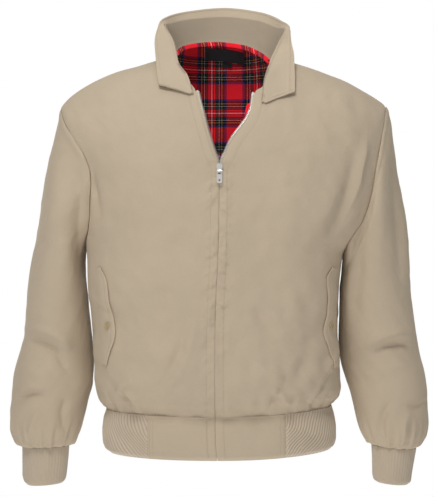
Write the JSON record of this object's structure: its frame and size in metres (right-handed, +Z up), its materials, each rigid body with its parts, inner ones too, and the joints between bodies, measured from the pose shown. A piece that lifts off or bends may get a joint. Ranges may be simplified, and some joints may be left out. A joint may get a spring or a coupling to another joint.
{
  "type": "harrington jacket",
  "caption": "Hip-length zip jacket with a turned-out stand collar, button-flap side pockets, rib-knit cuffs and hem, and a tartan lining, filled out as when worn.",
  "frame": {"origin": "between the two neck points, at the height of the shoulder seams' neck ends, where the jacket hangs on its wearer", "axes": "+Z up along the body; the front faces -Y; +X towards the wearer's left"},
  "size_m": [0.6919, 0.2608, 0.7984],
  "materials": {
    "poplin": "matt stone-coloured poplin, lined",
    "rib_knit": "stone-coloured rib knit",
    "tartan": "red tartan brushed cotton",
    "label": "bare black woven tape",
    "button": "satin",
    "zip_tape": "woven tape",
    "zip_metal": "nickel plated"
  },
  "bodies": {
    "jacket": {"back": "poplin", "front_right": "poplin", "front_left": "poplin", "sleeve_right": "poplin", "sleeve_left": "poplin", "cuff_right": "rib_knit", "cuff_left": "rib_knit", "waistband_front_right": "poplin", "waistband_front_left": "poplin", "waistband_rib": "rib_knit", "collar": "poplin", "lining_back": "tartan", "lining_front_right": "tartan", "lining_front_left": "tartan", "neck_label": "label", "size_tab": "label", "pocket_flap_right": "poplin", "pocket_flap_left": "poplin", "pocket_button_right": "button", "pocket_button_left": "button", "zip_tape_right": "zip_tape", "zip_tape_left": "zip_tape", "zip_slider": "zip_metal"},
    "pull_tab": {"zip_pull": "zip_metal"}
  },
  "joints": [
    {"name": "zip_pull_hinge", "type": "hinge", "parent": "jacket", "child": "pull_tab", "pos_m": [0.00229, -0.13156, -0.18557], "axis": [-1, 0, 0], "range_deg": [0, 170]}
  ]
}
